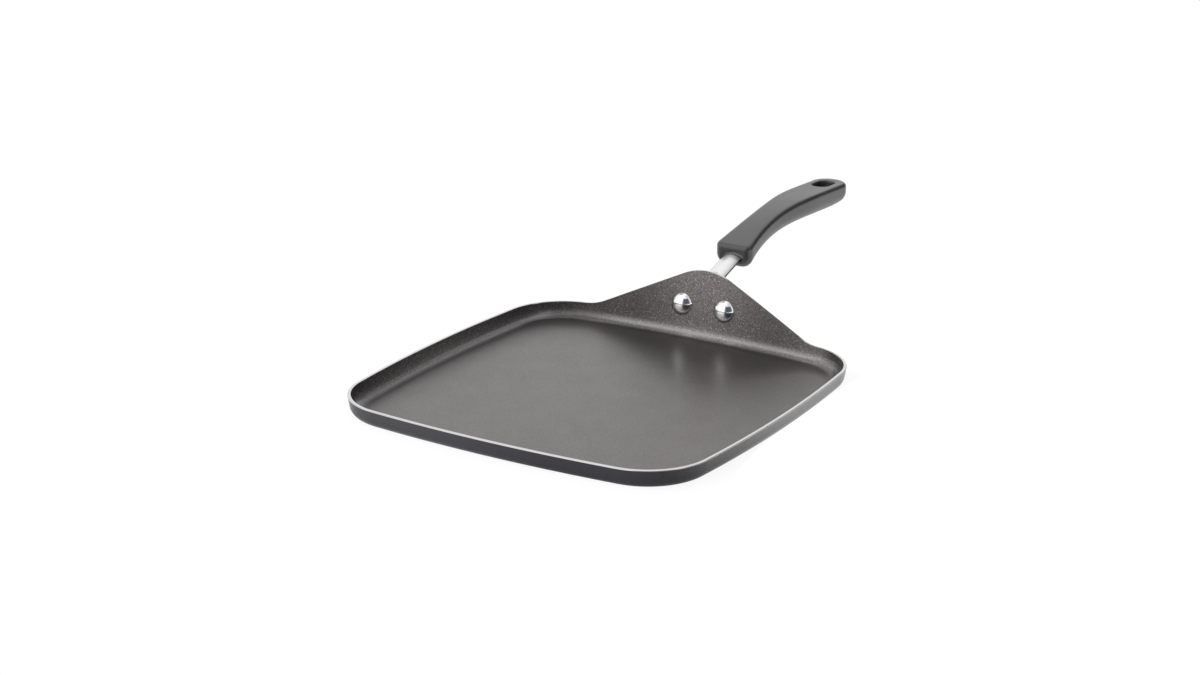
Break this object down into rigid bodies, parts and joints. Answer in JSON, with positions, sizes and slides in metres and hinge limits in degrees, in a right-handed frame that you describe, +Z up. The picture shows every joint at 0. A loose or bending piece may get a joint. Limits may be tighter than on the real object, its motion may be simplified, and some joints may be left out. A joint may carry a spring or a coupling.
{
  "type": "square griddle pan",
  "caption": "Square stovetop griddle pan with low flared walls, a raised tab at the back, and a curved grip on a riveted steel bracket.",
  "frame": {"origin": "middle of the flat underside of the pan, on the surface that it stands on", "axes": "+Z up, +Y from the pan to the handle, +X to the right looking along +Y"},
  "size_m": [0.2798, 0.4924, 0.0752],
  "materials": {
    "coated_aluminium": "dark grey non-stick coating with a fine metallic fleck, bare aluminium along the rim",
    "polished_steel": "polished",
    "rivet_metal": "polished",
    "phenolic": "satin moulding",
    "screw_steel": "zinc plated"
  },
  "bodies": {
    "root": {"pan": "coated_aluminium", "bracket": "polished_steel", "rivet_left": "rivet_metal", "rivet_right": "rivet_metal", "grip": "phenolic", "grip_screw": "screw_steel"}
  },
  "joints": []
}
